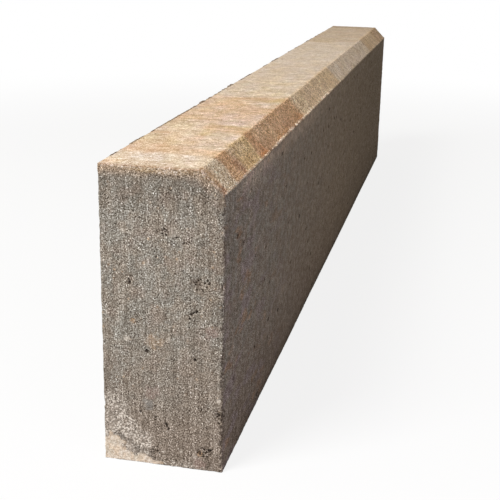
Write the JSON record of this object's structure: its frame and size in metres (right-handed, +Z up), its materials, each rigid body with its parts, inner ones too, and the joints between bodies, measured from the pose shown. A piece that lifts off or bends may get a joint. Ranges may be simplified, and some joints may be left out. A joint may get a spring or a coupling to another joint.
{
  "type": "concrete kerb stone",
  "caption": "Straight pressed-concrete kerb unit of upright rectangular section, with a chamfer along the road side of its top and a coloured facing mix on its top.",
  "frame": {"origin": "middle of the bedding face, on the surface that the stone stands on", "axes": "+X along the kerb, -Y towards the road (the chamfered side), +Y towards the footway, +Z up"},
  "size_m": [1, 0.08, 0.2],
  "materials": {
    "body_concrete": "matte",
    "facing_mix": "matte"
  },
  "bodies": {
    "root": {"kerb_stone": "body_concrete"}
  },
  "joints": []
}
